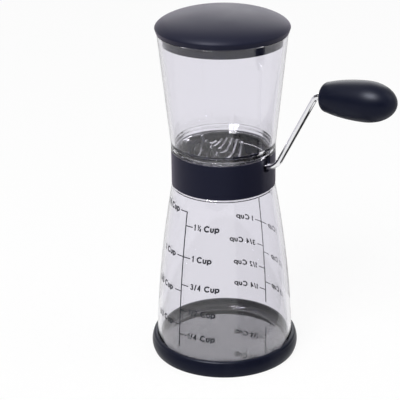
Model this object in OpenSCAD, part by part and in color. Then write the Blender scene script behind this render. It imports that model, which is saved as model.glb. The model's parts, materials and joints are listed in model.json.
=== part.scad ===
// Hand-cranked nut grinder: a clear hopper on a grinding collar, over a clear measuring jar.
// Millimetres. +Z is up and +X runs out along the crank's shaft.
// The origin is the centre of the foot's underside.

/* [Foot] */
// How far the foot's rim stands out from the jar
foot_out = 3; // [1.5:0.1:6]
// Height of the foot's rim
foot_h = 9.6; // [6:0.1:16]
// Height of the rim's widest line
foot_belly = 4.2; // [2.5:0.1:5.5]
// How far the rim draws in at the table
foot_tuck = 1; // [0.3:0.1:1.5]
// Radius of the rim's rounded top
foot_round = 1.6; // [0.6:0.1:2]
// Thickness of the pad under the jar
foot_pad = 2; // [1:0.1:3.5]

/* [Jar] */
// Radius of the jar at its floor
jar_base_r = 39.5; // [35:0.5:48]
// Height of the jar from its underside to its shoulder
jar_h = 101.2; // [80:0.2:130]
// How far the wall bows out between floor and shoulder
jar_bow = 2.05; // [0:0.05:4]
// Thickness of the wall
jar_wall = 2; // [1.2:0.1:3]
// Thickness of the floor
jar_floor = 2.2; // [1.2:0.1:4]
// Radius of the rounded edge under the jar
jar_round = 2.5; // [1:0.1:4]
// Radius of the hollow where wall and floor meet
jar_hollow = 4; // [1.5:0.1:6]
// Radius of the shoulder's rounded edge under the collar
shoulder_round = 1.2; // [0.4:0.1:1.5]
// How far the shoulder's edge lies inside the collar's radius
shoulder_tuck = 0.3; // [0:0.1:1]

/* [Neck and bayonet] */
// Height of the neck above the shoulder
neck_h = 5; // [4.4:0.1:8]
// Thickness of the neck's wall
neck_wall = 2; // [1.4:0.1:2.6]
// Bevel on the neck's top edge
neck_bevel = 0.6; // [0.2:0.1:1]
// Number of lugs round the neck
lug_count = 3; // [2:1:4]
// Length of a lug, in degrees round the neck
lug_arc = 14; // [8:1:20]
// Height of a lug
lug_h = 1.8; // [1.2:0.1:2.2]
// How far a lug stands out from the neck
lug_out = 1.3; // [0.8:0.1:1.6]
// Height of a lug's underside above the shoulder
lug_up = 1.5; // [1.2:0.1:1.8]
// Twist between locked and free, in degrees
twist = 40; // [20:1:45]

/* [Collar] */
// Outer radius of the collar
collar_r = 29.2; // [28:0.1:34]
// Thickness of the collar's wall
collar_wall = 2.6; // [2.2:0.1:3]
// Rounding of the collar's edges
collar_round = 0.5; // [0.2:0.1:1]
// Thickness of the deck that carries the combs
deck_t = 2; // [1.4:0.1:3]
// Height of the shaft above the deck
shaft_over_deck = 7.5; // [6.8:0.1:9]
// Depth of the shaft below the collar's rim
shaft_drop = 5.15; // [4:0.05:7]
// Gap round the rod in the slot where it passes the collar's wall
slot_gap = 1.7; // [0.8:0.1:2.4]
// Width of the deck on each side of the throat
deck_ledge = 12.6; // [11.6:0.1:14]
// Width of each bearing post
post_w = 14; // [11:0.5:16]
// Thickness of each bearing post along the shaft
post_t = 6.9; // [6:0.1:8]

/* [Hopper] */
// Height of the hopper above the collar
hopper_h = 67.35; // [50:0.05:100]
// Outer radius of the hopper's mouth
hopper_mouth_r = 35.8; // [31:0.1:44]
// Thickness of the hopper's wall
hopper_wall = 2; // [1.4:0.1:3]
// Height of the flange on the collar
flange_h = 4.1; // [3:0.1:7]
// Depth of the groove round the flange
flange_groove = 0.3; // [0.2:0.1:1]
// Width of that groove
flange_groove_w = 0.8; // [0.4:0.1:1.2]
// Height of the spigot inside the collar
spigot_h = 5.5; // [3:0.1:7]
// Thickness of the spigot's wall
spigot_wall = 2; // [1.4:0.1:2.6]
// Height of the funnel inside the flange
funnel_h = 5; // [4.5:0.1:12]
// Bevel on the mouth's outer edge
mouth_bevel = 0.5; // [0.2:0.1:0.8]

/* [Lid] */
// How far the lid stands out past the hopper's mouth
lid_over = 1.1; // [0.5:0.1:3]
// Height of the lid's edge below the dome
lid_edge_h = 2.5; // [1:0.05:5]
// How far the edge draws in at the bottom
lid_tuck = 0.8; // [0.2:0.1:1]
// Height of the dome
dome_h = 9.25; // [5:0.05:16]
// How flat the dome meets its edge; 1 gives a plain ellipse
dome_power = 1.16; // [1:0.02:1.6]
// Depth of the plug inside the hopper
plug_h = 5.6; // [3:0.1:10]
// Thickness of the lid
lid_wall = 2.2; // [1.4:0.1:3]

/* [Crank] */
// Radius of the crank's rod
rod_r = 1.6; // [1.6:0.1:2.2]
// How far the shaft stops short of its hidden bush's end
shaft_short = 1.5; // [0.6:0.1:3]
// How far inside the collar's face the rod starts to bend
bend_in = 1.9; // [0:0.1:2.2]
// Angle of the arm from the shaft
crank_angle = 61.7; // [45:0.1:80]
// Distance from the shaft to the top of the arm
crank_throw = 47; // [36:0.25:60]
// Bend radius beside the collar
bend_r = 12; // [6:0.5:14]
// Bend radius beside the knob
grip_bend_r = 5.5; // [4:0.5:6]
// How much the rod's radius swells in its bends
bend_swell = 0.03; // [0.02:0.01:0.1]
// Tilt of the knob's axis from the shaft
grip_splay = 4.9; // [0:0.1:12]

/* [Knob] */
// Gap between the rod's bend and the knob
knob_gap = 1.7; // [0.5:0.1:5]
// Length of the knob
knob_l = 42.5; // [34:0.5:60]
// Largest radius of the knob
knob_r = 10.8; // [9:0.1:15]
// Radius of the knob's narrow end
knob_end_r = 7.2; // [7:0.1:9]
// Distance from the narrow end to the widest place
knob_belly = 25.5; // [20:0.5:30]
// Rounding of the narrow end
knob_round = 3; // [0.5:0.1:3.2]
// Radius of the sleeve inside the knob
core_r = 4.7; // [4.4:0.1:4.8]
// Wall between the sleeve and the knob's round end
knob_cap = 7; // [4:0.5:10]

/* [Rotor] */
// Number of tine wheels on the shaft
wheel_count = 6; // [4:1:6]
// Thickness of a tine wheel
wheel_t = 1.2; // [0.8:0.1:1.6]
// Radius at the tines' tips
tine_r = 11.5; // [9.5:0.1:12.5]
// Number of tines on a wheel
tine_count = 4; // [3:1:6]
// Half width of a tine at its tip
tine_tip = 0.9; // [0.4:0.1:1.5]
// Half width of a tine at the hub
tine_root = 2.6; // [1.8:0.1:3]
// Radius of a wheel's hub
hub_r = 4.2; // [3.6:0.1:4.6]
// Radius of the spacers between the wheels
spacer_r = 3.6; // [3:0.1:4]
// Depth of the two flats on the shaft
flat_depth = 0.4; // [0.2:0.05:0.6]

/* [Combs] */
// Thickness of a comb
comb_t = 1.4; // [1:0.1:2]
// Distance of the fingers' tips from the shaft's plane
comb_tip = 5.2; // [4.8:0.1:7]
// Gap between a finger and a wheel
tine_gap = 0.7; // [0.4:0.05:1]
// How far a comb's bar stands over the throat
comb_over = 1; // [0.5:0.1:2]
// Radius of the comb screws' shanks
screw_r = 1.25; // [1:0.05:1.5]
// Radius of the screws' heads
screw_head_r = 2.4; // [2:0.1:3]
// Height of the screws' heads
screw_head_h = 1.4; // [1:0.1:2]
// Length of the screws' shanks
screw_l = 6; // [4.5:0.1:6.5]
// Wall of the bosses that the screws bite into
boss_wall = 1.6; // [1:0.1:2]
// Distance of the screws from the middle of a comb
screw_x = 9; // [6:0.5:11]

/* [Bearings and clips] */
// Outer radius of the bushes
bush_r = 4.5; // [4:0.1:5]
// Radius of a bush's flange
bush_flange_r = 6; // [5.5:0.1:6.4]
// Thickness of a bush's flange
bush_flange_t = 1.2; // [0.8:0.1:1.8]
// Radius of the thrust washers
washer_r = 4.2; // [3.6:0.1:5]
// Thickness of the thrust washers
washer_t = 0.6; // [0.4:0.1:1]
// Radius of the spring clips
clip_r = 3.7; // [3.2:0.1:4]
// Thickness of the spring clips
clip_t = 0.7; // [0.5:0.1:1]
// Depth of the clips' grooves in the rod
clip_depth = 0.5; // [0.3:0.05:0.7]
// Opening of the spring clips
clip_mouth = 2.2; // [1.8:0.1:2.4]

/* [Clearances] */
// Gap round a turning shaft
run_gap = 0.05; // [0.02:0.01:0.09]
// Gap between pieces that slide or turn past each other
fit_gap = 0.3; // [0.2:0.05:0.5]
// Gap round a piece that is fixed in its seat
seat_gap = 0.1; // [0.05:0.01:0.2]

/* [Hidden] */
$fn = 96;

// Overlap of shapes that are joined into one piece, and reach of a cut past a face
weld = 0.5;
// Reach of a straight stretch of the rod into its bend
rod_lap = 0.3;
// Steps along an arc and along the long curves
arc_steps = 6;
curve_steps = 18;

// Levels, from the table up
jar_z = foot_pad;
jar_floor_z = jar_z + jar_floor;
shoulder_z = jar_z + jar_h;
neck_top = shoulder_z + neck_h;
deck_bottom = neck_top + fit_gap;
deck_top = deck_bottom + deck_t;
shaft_z = deck_top + shaft_over_deck;
collar_top = shaft_z + shaft_drop;
flange_top = collar_top + flange_h;
hopper_top = collar_top + hopper_h;
dome_z = hopper_top + lid_edge_h;
lid_top = dome_z + dome_h;

// Radii that follow from the collar and the hopper
foot_r = jar_base_r + foot_out;
collar_in_r = collar_r - collar_wall;
jar_top_r = collar_r - shoulder_tuck;
neck_r = collar_in_r - fit_gap;
neck_in_r = neck_r - neck_wall;
spigot_r = collar_in_r - fit_gap;
spigot_in_r = spigot_r - spigot_wall;
lid_r = hopper_mouth_r + lid_over;

// Bayonet
lug_z = shoulder_z + lug_up;
groove_r = neck_r + lug_out + fit_gap;
groove_slack = fit_gap / neck_r * 180 / PI;

// Rotor stack along the shaft, from the bearing posts in; its wheels and spacers fill the room between
post_x = collar_in_r - post_t;
bush_face_x = post_x - bush_flange_t;
clip_x = bush_face_x - fit_gap - clip_t;
stack_end = clip_x - washer_t;
wheel_pitch = (2 * stack_end + wheel_t) / (wheel_count + 1);
spacer_l = wheel_pitch - wheel_t;
bush_bore_r = rod_r + run_gap;
saddle_r = bush_r + seat_gap;
bush_end = collar_in_r - fit_gap;
bush_pocket = bush_end + 2 * fit_gap;
slot_r = rod_r + slot_gap;
shaft_end = bush_end - shaft_short;
flat_r = rod_r - flat_depth;
clip_seat_r = rod_r - clip_depth;

// Throat and combs
throat_w = 2 * (collar_in_r - deck_ledge);
finger_w = wheel_pitch - wheel_t - 2 * tine_gap;
comb_half = stack_end - fit_gap;
comb_in = throat_w / 2 - comb_over;
comb_out = sqrt((collar_in_r - 3 * fit_gap) ^ 2 - comb_half ^ 2);
screw_y = (throat_w / 2 + comb_out) / 2;
boss_r = screw_r + seat_gap + boss_wall;
boss_h = screw_l - comb_t - deck_t + 2 * fit_gap;

// Crank, as a path in the XZ plane
bend_x = collar_r - bend_in;
arm_start = [bend_x + bend_r * sin(crank_angle), shaft_z + bend_r * (1 - cos(crank_angle))];
grip_turn = crank_angle - grip_splay;
grip_tangent = grip_bend_r * tan(grip_turn / 2);
arm_l = (crank_throw - bend_r * (1 - cos(crank_angle))) / sin(crank_angle) - grip_tangent;
arm_end = arm_start + arm_l * [cos(crank_angle), sin(crank_angle)];
grip_centre = arm_end + grip_bend_r * [sin(crank_angle), -cos(crank_angle)];
pin_start = grip_centre + grip_bend_r * [-sin(grip_splay), cos(grip_splay)];

// Knob, along its own axis from its narrow end
core_l = knob_l - knob_cap;
knob_taper = knob_belly / sqrt(1 - (knob_end_r / knob_r) ^ 2);
pocket_l = 3 * clip_t + 2 * fit_gap;
knob_clip_u = core_l - pocket_l + fit_gap;
pin_l = knob_gap + knob_clip_u + 2 * clip_t;

clear_plastic = [0.86, 0.85, 0.9, 0.4];
black_plastic = [0.1, 0.11, 0.14];
black_rubber = [0.07, 0.07, 0.09];
steel = [0.78, 0.78, 0.8];
nylon = [0.17, 0.17, 0.18];

// Points on an arc or an upright ellipse about a centre
function arc(centre, rx, ry, from, to, steps = arc_steps) =
    [for (i = [0:steps])
        let (a = from + (to - from) * i / steps)
        centre + [rx * cos(a), ry * sin(a)]];

// Levels spread evenly between two heights
function levels(from, to, steps) = [for (i = [0:steps]) from + (to - from) * i / steps];

// Outer radius of the jar's bowed wall
function jar_at(z) =
    let (t = (z - jar_z) / jar_h)
    jar_base_r + (jar_top_r - jar_base_r) * t + 4 * jar_bow * t * (1 - t);

// Outer radius of the hopper's tapered wall
function hopper_at(z) =
    let (t = (z - collar_top) / hopper_h)
    collar_r + (hopper_mouth_r - collar_r) * t - flange_groove * (1 - t);

// Outer radius of the foot's rim
function foot_at(z) = foot_r - foot_tuck * ((z - foot_belly) / foot_belly) ^ 2;

// Radius of the knob at a distance from its narrow end
function knob_at(u) =
    u < knob_belly
        ? knob_r * sqrt(1 - ((knob_belly - u) / knob_taper) ^ 2)
        : knob_r * sqrt(max(0, 1 - ((u - knob_belly) / (knob_l - knob_belly)) ^ 2));

// A rod or a tube along +X from a place on the shaft
module along_shaft(x, l, r) {
    translate([x, 0, shaft_z])
        rotate([0, 90, 0])
            cylinder(r = r, h = l);
}

module shaft_tube(x, l, r, bore) {
    difference() {
        along_shaft(x, l, r);
        along_shaft(x - weld, l + 2 * weld, bore);
    }
}

// A bent stretch of the rod in the XZ plane, from one angle about its centre
module rod_bend(centre, r, from, turn) {
    translate([centre[0], 0, centre[1]])
        rotate([90, 0, 0])
            rotate([0, 0, from])
                rotate_extrude(angle = turn)
                    translate([r, 0])
                        circle(r = rod_r + bend_swell);
}

// Places a child that is drawn along +Z on the knob's axis
module on_knob_axis(u) {
    translate([pin_start[0], 0, pin_start[1]])
        rotate([0, 90 - grip_splay, 0])
            translate([0, 0, u])
                children();
}

// A sector of a ring with a rectangular section
module ring_sector(from, sweep, r_in, r_out, z, h) {
    rotate([0, 0, from])
        rotate_extrude(angle = sweep)
            translate([r_in, z])
                square([r_out - r_in, h]);
}

module foot() {
    top_z = foot_h - foot_round;
    rim = [for (z = levels(0, top_z, arc_steps)) [foot_at(z), z]];
    crest = arc([foot_at(top_z) - foot_round, top_z], foot_round, foot_round, 0, 90);
    seat = [for (z = levels(foot_h, jar_z + jar_round, arc_steps)) [jar_at(z) + seat_gap, z]];
    heel_r = jar_at(jar_z + jar_round) + seat_gap - jar_round;
    heel = arc([heel_r, jar_z + jar_round], jar_round, jar_round, 0, -90);
    color(black_rubber)
        rotate_extrude()
            polygon(concat([[0, 0]], rim, crest, seat, heel, [[0, jar_z]]));
}

module jar() {
    edge_z = shoulder_z - shoulder_round;
    heel_z = jar_z + jar_round;
    hollow_z = jar_floor_z + jar_hollow;
    heel = arc([jar_at(heel_z) - jar_round, heel_z], jar_round, jar_round, -90, 0);
    outside = [for (z = levels(heel_z, edge_z, curve_steps)) [jar_at(z), z]];
    edge = arc([jar_at(edge_z) - shoulder_round, edge_z], shoulder_round, shoulder_round, 0, 90);
    neck = [
        [neck_r, shoulder_z],
        [neck_r, neck_top - neck_bevel],
        [neck_r - neck_bevel, neck_top],
        [neck_in_r, neck_top],
        [neck_in_r, shoulder_z]
    ];
    inside = [for (z = levels(shoulder_z - jar_wall, hollow_z, curve_steps)) [jar_at(z) - jar_wall, z]];
    hollow_r = jar_at(hollow_z) - jar_wall - jar_hollow;
    hollow = arc([hollow_r, hollow_z], jar_hollow, jar_hollow, 0, -90);
    color(clear_plastic)
        union() {
            rotate_extrude()
                polygon(concat([[0, jar_z]], heel, outside, edge, neck, inside, hollow, [[0, jar_floor_z]]));
            for (i = [0:lug_count - 1])
                ring_sector(i * 360 / lug_count - lug_arc / 2, lug_arc, neck_r - weld, neck_r + lug_out,
                    lug_z, lug_h);
        }
}

// L-shaped path of one lug: up through the collar's lower edge, then round to the locked end
module bayonet_cut() {
    free_end = -lug_arc / 2 - twist - groove_slack;
    cut_in_r = collar_in_r - weld;
    ring_sector(free_end, lug_arc + twist + 2 * groove_slack, cut_in_r, groove_r,
        lug_z - fit_gap, lug_h + 2 * fit_gap);
    ring_sector(free_end, lug_arc + 2 * groove_slack, cut_in_r, groove_r,
        shoulder_z - weld, lug_up + lug_h + weld);
}

// Repeats a child at the four comb screws
module at_screws() {
    for (x = [-screw_x, screw_x])
        for (y = [-screw_y, screw_y])
            translate([x, y, 0])
                children();
}

module collar_shell() {
    upper = arc([collar_r - collar_round, collar_top - collar_round], collar_round, collar_round, 0, 90);
    lower = arc([collar_r - collar_round, shoulder_z + collar_round], collar_round, collar_round, -90, 0);
    rotate_extrude()
        polygon(concat(
            [[collar_in_r, shoulder_z]], lower, upper,
            [[collar_in_r, collar_top], [collar_in_r, deck_top], [0, deck_top]],
            [[0, deck_bottom], [collar_in_r, deck_bottom]]
        ));
}

module bearing_posts() {
    intersection() {
        for (x = [post_x, -collar_r])
            translate([x, -post_w / 2, deck_top - weld])
                cube([collar_r - post_x, post_w, shaft_z - deck_top + weld]);
        translate([0, 0, deck_bottom])
            cylinder(r = collar_in_r + weld, h = collar_top - deck_bottom);
    }
}

// A slot that is open above, so the rod drops in with its bushes
module shaft_slot(from, to, r) {
    along_shaft(from, to - from, r);
    translate([from, -r, shaft_z])
        cube([to - from, 2 * r, shaft_drop + weld]);
}

module collar() {
    color(black_plastic)
        difference() {
            union() {
                collar_shell();
                bearing_posts();
                at_screws()
                    translate([0, 0, deck_bottom - boss_h])
                        cylinder(r = boss_r, h = boss_h + weld);
            }
            translate([-stack_end, -throat_w / 2, deck_bottom - weld])
                cube([2 * stack_end, throat_w, deck_t + 2 * weld]);
            shaft_slot(post_x - weld, bush_pocket, saddle_r);
            shaft_slot(-bush_pocket, weld - post_x, saddle_r);
            shaft_slot(bush_end, collar_r + weld, slot_r);
            at_screws()
                translate([0, 0, deck_bottom - boss_h - weld])
                    cylinder(r = screw_r + seat_gap, h = boss_h + deck_t + 2 * weld);
            for (i = [0:lug_count - 1])
                rotate([0, 0, i * 360 / lug_count])
                    bayonet_cut();
        }
}

// A comb lies on the deck; its fingers reach in between the wheels on one side of the shaft
module comb(every) {
    translate([0, 0, deck_top])
        linear_extrude(comb_t)
            difference() {
                union() {
                    translate([-comb_half, comb_in])
                        square([2 * comb_half, comb_out - comb_in]);
                    for (i = [0:every:wheel_count])
                        translate([(i - wheel_count / 2) * wheel_pitch, comb_tip + finger_w / 2]) {
                            circle(d = finger_w);
                            translate([-finger_w / 2, 0])
                                square([finger_w, comb_in + weld - comb_tip - finger_w / 2]);
                        }
                }
                for (x = [-screw_x, screw_x])
                    translate([x, screw_y])
                        circle(r = screw_r + seat_gap);
            }
}

module fine_comb() {
    color(steel)
        comb(1);
}

module coarse_comb() {
    color(steel)
        mirror([0, 1, 0])
            comb(2);
}

module comb_screws() {
    slot_w = screw_r / 2;
    color(steel)
        at_screws()
            translate([0, 0, deck_top + comb_t])
                difference() {
                    union() {
                        translate([0, 0, -screw_l])
                            cylinder(r = screw_r, h = screw_l + weld);
                        cylinder(r = screw_head_r, h = screw_head_h);
                    }
                    translate([-screw_head_r, -slot_w / 2, screw_head_h / 2])
                        cube([2 * screw_head_r, slot_w, screw_head_h]);
                }
}

// A flanged bush, as it sits on the crank's side
module bush() {
    difference() {
        union() {
            along_shaft(bush_face_x, bush_flange_t, bush_flange_r);
            along_shaft(bush_face_x, bush_end - bush_face_x, bush_r);
        }
        along_shaft(bush_face_x - weld, bush_end, bush_bore_r);
    }
}

module crank_bush() {
    color(black_plastic)
        bush();
}

module end_bush() {
    color(black_plastic)
        mirror([1, 0, 0])
            bush();
}

// The arch over a bush and its post is open below, so the hopper lifts off the shaft
module bush_arch(x, l) {
    half_w = post_w / 2 + fit_gap;
    foot_z = min(collar_top - spigot_h, shaft_z) - weld;
    along_shaft(x, l, bush_r + fit_gap);
    translate([x, -half_w, foot_z])
        cube([l, 2 * half_w, shaft_z + fit_gap - foot_z]);
}

module hopper() {
    shoulder_r = collar_r - flange_groove;
    groove_z = collar_top + (flange_h - flange_groove_w) / 2;
    funnel_top = collar_top + funnel_h;
    flange = [
        [spigot_in_r, collar_top - spigot_h],
        [spigot_r, collar_top - spigot_h],
        [spigot_r, collar_top],
        [collar_r, collar_top],
        [collar_r, groove_z],
        [shoulder_r, groove_z],
        [shoulder_r, groove_z + flange_groove_w],
        [collar_r, groove_z + flange_groove_w]
    ];
    shoulder = arc([shoulder_r, flange_top - flange_groove], flange_groove, flange_groove, 0, 90);
    wall = [[hopper_at(flange_top), flange_top], [hopper_mouth_r, hopper_top - mouth_bevel]];
    rim = [[hopper_mouth_r - mouth_bevel, hopper_top], [hopper_mouth_r - hopper_wall, hopper_top]];
    funnel = [[hopper_at(funnel_top) - hopper_wall, funnel_top], [spigot_in_r, collar_top]];
    color(clear_plastic)
        difference() {
            rotate_extrude()
                polygon(concat(flange, shoulder, wall, rim, funnel));
            bush_arch(bush_face_x, collar_r);
            bush_arch(-bush_end - fit_gap, bush_end - bush_face_x);
        }
}

module lid() {
    plug_bottom = hopper_top - plug_h;
    plug_r = hopper_at(plug_bottom) - hopper_wall - fit_gap;
    plug_top_r = hopper_mouth_r - hopper_wall - fit_gap;
    hollow_r = plug_r - lid_wall;
    hollow_h = lid_top - lid_wall - hopper_top;
    plug = [[hollow_r, plug_bottom], [plug_r, plug_bottom], [plug_top_r, hopper_top]];
    edge = [[lid_r - lid_tuck, hopper_top]];
    dome = [for (p = arc([0, 0], 1, 1, 0, 90, curve_steps))
        [lid_r * p[0], dome_z + dome_h * p[1] ^ dome_power]];
    hollow = arc([0, hopper_top], hollow_r, hollow_h, 90, 0, curve_steps);
    color(black_plastic)
        rotate_extrude()
            polygon(concat(plug, edge, dome, hollow));
}

// Ring-shaped cut round the rod that a spring clip snaps into
module clip_groove(width) {
    difference() {
        cylinder(r = rod_r + weld, h = width);
        translate([0, 0, -weld])
            cylinder(r = clip_seat_r, h = width + 2 * weld);
    }
}

module clip() {
    difference() {
        cylinder(r = clip_r, h = clip_t);
        translate([0, 0, -weld])
            cylinder(r = clip_seat_r + run_gap, h = clip_t + 2 * weld);
        translate([0, -clip_mouth / 2, -weld])
            cube([2 * clip_r, clip_mouth, clip_t + 2 * weld]);
    }
}

module crank_rod() {
    groove_w = clip_t + 2 * run_gap;
    color(steel)
        difference() {
            union() {
                along_shaft(-shaft_end, shaft_end + bend_x + rod_lap, rod_r);
                rod_bend([bend_x, shaft_z + bend_r], bend_r, -90, crank_angle);
                translate([arm_start[0], 0, arm_start[1]])
                    rotate([0, 90 - crank_angle, 0])
                        translate([0, 0, -rod_lap])
                            cylinder(r = rod_r, h = arm_l + 2 * rod_lap);
                rod_bend(grip_centre, grip_bend_r, 90 + grip_splay, grip_turn);
                on_knob_axis(-rod_lap)
                    cylinder(r = rod_r, h = pin_l + rod_lap);
            }
            for (side = [-1, 1])
                translate([-stack_end, -rod_r, shaft_z + side * (flat_r + rod_r) - rod_r])
                    cube([2 * stack_end, 2 * rod_r, 2 * rod_r]);
            for (x = [clip_x, -clip_x - clip_t])
                translate([x - run_gap, 0, shaft_z])
                    rotate([0, 90, 0])
                        clip_groove(groove_w);
            on_knob_axis(knob_gap + knob_clip_u - run_gap)
                clip_groove(groove_w);
        }
}

// Outline of a tine wheel: each tine's flanks sweep in from the hub to a chisel tip
function wheel_outline(turn) =
    let (
        tip_x = sqrt(tine_r ^ 2 - tine_tip ^ 2),
        flank = [for (r = levels(hub_r, tip_x, arc_steps))
            [r, tine_tip + (tine_root - tine_tip) * ((tip_x - r) / (tip_x - hub_r)) ^ 2]],
        last = len(flank) - 1,
        tine = [for (i = [0:2 * last + 1]) i > last ? flank[2 * last + 1 - i] : [flank[i][0], -flank[i][1]]]
    )
    [for (k = [0:tine_count - 1])
        let (a = k * 360 / tine_count + turn)
        for (p = tine) [p[0] * cos(a) - p[1] * sin(a), p[0] * sin(a) + p[1] * cos(a)]];

// Each wheel is turned a step further than its neighbour, so the tines bite one after another
module tine_wheel(i) {
    x = (i - 1 - (wheel_count - 1) / 2) * wheel_pitch - wheel_t / 2;
    color(steel)
        translate([x, 0, shaft_z])
            rotate([0, 90, 0])
                linear_extrude(wheel_t)
                    difference() {
                        polygon(wheel_outline(i * 360 / tine_count / wheel_count));
                        intersection() {
                            circle(r = bush_bore_r);
                            square([2 * (flat_r + run_gap), 4 * rod_r], center = true);
                        }
                    }
}

module rotor_spacer(i) {
    x = (i - wheel_count / 2) * wheel_pitch - spacer_l / 2;
    color(nylon)
        shaft_tube(x, spacer_l, spacer_r, bush_bore_r);
}

module thrust_washers() {
    color(steel)
        for (x = [stack_end, -stack_end - washer_t])
            shaft_tube(x, washer_t, washer_r, bush_bore_r);
}

module shaft_clips() {
    color(steel)
        for (x = [clip_x, -clip_x - clip_t])
            translate([x, 0, shaft_z])
                rotate([0, 90, 0])
                    clip();
}

module knob_core() {
    color(black_plastic)
        on_knob_axis(knob_gap)
            difference() {
                cylinder(r = core_r, h = core_l);
                translate([0, 0, -weld])
                    cylinder(r = bush_bore_r, h = core_l);
                translate([0, 0, core_l - pocket_l])
                    cylinder(r = clip_r + fit_gap, h = pocket_l + weld);
            }
}

module knob_clip() {
    color(steel)
        on_knob_axis(knob_gap + knob_clip_u)
            clip();
}

module knob_grip() {
    end_r = knob_at(knob_round);
    narrow = arc([end_r - knob_round, knob_round], knob_round, knob_round, -90, 0);
    side = [for (u = levels(knob_round, knob_belly, arc_steps)) [knob_at(u), u]];
    tip = arc([0, knob_belly], knob_r, knob_l - knob_belly, 0, 90, curve_steps);
    color(black_rubber)
        on_knob_axis(knob_gap)
            difference() {
                rotate_extrude()
                    polygon(concat([[0, 0]], narrow, side, tip));
                translate([0, 0, -weld])
                    cylinder(r = core_r + seat_gap, h = core_l + weld);
            }
}

foot();
jar();
collar();
coarse_comb();
fine_comb();
comb_screws();
crank_bush();
end_bush();
hopper();
lid();
crank_rod();
thrust_washers();
shaft_clips();
knob_core();
knob_grip();
knob_clip();
for (i = [1:wheel_count])
    tine_wheel(i);
for (i = [0:wheel_count])
    rotor_spacer(i);
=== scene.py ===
"""Nut grinder: clear shells, satin black fittings, bright crank and printed scale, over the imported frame."""

import json
from math import cos, pi, radians, sin, sqrt, tan

import bmesh
import bpy
from bpy.props import FloatProperty, FloatVectorProperty, PointerProperty
from bpy.types import Operator, Panel, PropertyGroup
from mathutils import Matrix, Vector


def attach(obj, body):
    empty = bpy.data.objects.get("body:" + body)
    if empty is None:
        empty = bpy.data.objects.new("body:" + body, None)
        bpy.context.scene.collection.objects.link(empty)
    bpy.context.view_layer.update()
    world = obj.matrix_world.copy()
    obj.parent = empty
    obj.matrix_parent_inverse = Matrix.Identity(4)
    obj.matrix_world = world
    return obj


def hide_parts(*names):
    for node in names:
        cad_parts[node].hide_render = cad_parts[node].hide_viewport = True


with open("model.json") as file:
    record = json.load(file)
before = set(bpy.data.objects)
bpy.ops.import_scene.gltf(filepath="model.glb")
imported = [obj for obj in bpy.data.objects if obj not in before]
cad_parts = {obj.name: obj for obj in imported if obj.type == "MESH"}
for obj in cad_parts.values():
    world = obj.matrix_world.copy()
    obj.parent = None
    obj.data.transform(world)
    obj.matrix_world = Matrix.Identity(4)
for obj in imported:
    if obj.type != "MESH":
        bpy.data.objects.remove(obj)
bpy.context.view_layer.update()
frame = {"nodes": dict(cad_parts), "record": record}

bl_info = {
    "name": "Nut Grinder",
    "version": (1, 0, 0),
    "blender": (4, 5, 0),
    "location": "View3D > Sidebar > Grinder",
    "description": "Smooth shells, finishes, printed scale and studio for a hand-cranked nut grinder",
    "category": "Object",
}

MM = 0.001
TINY = 1e-9                     # shorter than this counts as nought
WELD = 1e-6                     # points nearer than this become one
TURN_STEPS = 144                # sides of a turned piece
LUGS, LUG_STEPS = 3, 8          # bayonet lugs on the neck, and steps round each of them
LINE_STEPS, TICK_STEPS = 60, 6  # steps along the scale's line and along a tick
EASE_SHARE = 0.4                # most of a side that an eased corner takes up
MITRE = 0.55                    # least cosine of half a bend that a stroke's mitre follows
CUT_PAST = 0.5 * MM             # how far a cutting tool reaches past the piece
FLOOR_REACH, FLOOR_CELLS = 6.0, 24  # half the floor's side in metres, and cells along it
CARD_CELLS = 4                  # cells along a card's side
SENSOR = 36.0                   # width of the camera's sensor in millimetres
WHITE = (1.0, 1.0, 1.0, 1.0)

# Marks on the two sides of the scale's line: height of the tick and distance of the words from the line, both
# in millimetres, and the words.
RIGHT_MARKS = ((86.45, 5.45, "1¼ Cup"), (68.35, 5.9, "1 Cup"), (51.92, 6.2, "3/4 Cup"),
               (36.56, 5.8, "1/2 Cup"), (21.86, 5.8, "1/4 Cup"))
LEFT_MARKS = ((94.14, 6.2, "1⅓ Cup"), (68.35, 6.4, "1 Cup"), (47.9, 7.0, "2/3 Cup"),
              (27.48, 5.8, "1/3 Cup"))

# Arches over the bearings: where each begins and ends along the shaft, in millimetres, and how far over its
# feet the round begins, in degrees.
ARCHES = ((18.5, 47.7), (-26.6, -18.8))
ARCH_START = 3.6

# Soft lamps: name, azimuth and elevation in degrees, distance and size in metres, power in watts, and whether
# only gloss shows it.
LAMPS = (("key_lamp", 3.0, 53.0, 1.3, 0.5, 10.0, False),
         ("gloss_lamp", 3.0, 53.0, 1.31, 0.5, 25.0, True),
         ("fill_lamp", 120.0, 45.0, 1.4, 0.8, 3.0, False),
         ("back_lamp", 210.0, 28.0, 1.6, 1.2, 11.0, True))
LAMP_AIM = Vector((0.0, 0.0, 0.1))

# Painted reflections, dark or grey cards that only mirrors see where the white studio has nothing dark: name,
# middle and size in metres, turn in degrees about an axis, and shade.
PAINTED_REFLECTIONS = (("rod_painted_reflection", (0.08, 0.04, 0.058), (0.114, 0.2), 90.0, "Y", 0.02),
         ("front_painted_reflection", (0.0, -1.5, 0.55), (5.2, 1.1), 90.0, "X", 0.02),
         ("back_painted_reflection", (-0.19, 0.27, 0.004), (1.0, 0.56), 35.0, "Z", 0.66))
CARD_ROUGHNESS = 0.9


# Sizes and colours


def length(name, description, millimetres):
    """A length that a user may change, written in millimetres and kept in metres."""
    return FloatProperty(name=name, description=description, default=millimetres * MM, min=0.0, max=5.0,
                         precision=5, unit="LENGTH", subtype="DISTANCE")


def angle(name, description, degrees):
    """An angle that a user may change, written in degrees."""
    return FloatProperty(name=name, description=description, default=radians(degrees), min=-2 * pi,
                         max=2 * pi, precision=4, unit="ROTATION", subtype="ANGLE")


def share(name, description, default):
    """A plain share between nought and one."""
    return FloatProperty(name=name, description=description, default=default, min=0.0, max=1.0,
                         subtype="FACTOR")


def colour(name, description, rgb):
    """A surface colour in linear light."""
    return FloatVectorProperty(name=name, description=description, default=rgb, size=3, min=0.0, max=1.0,
                               subtype="COLOR")


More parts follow.
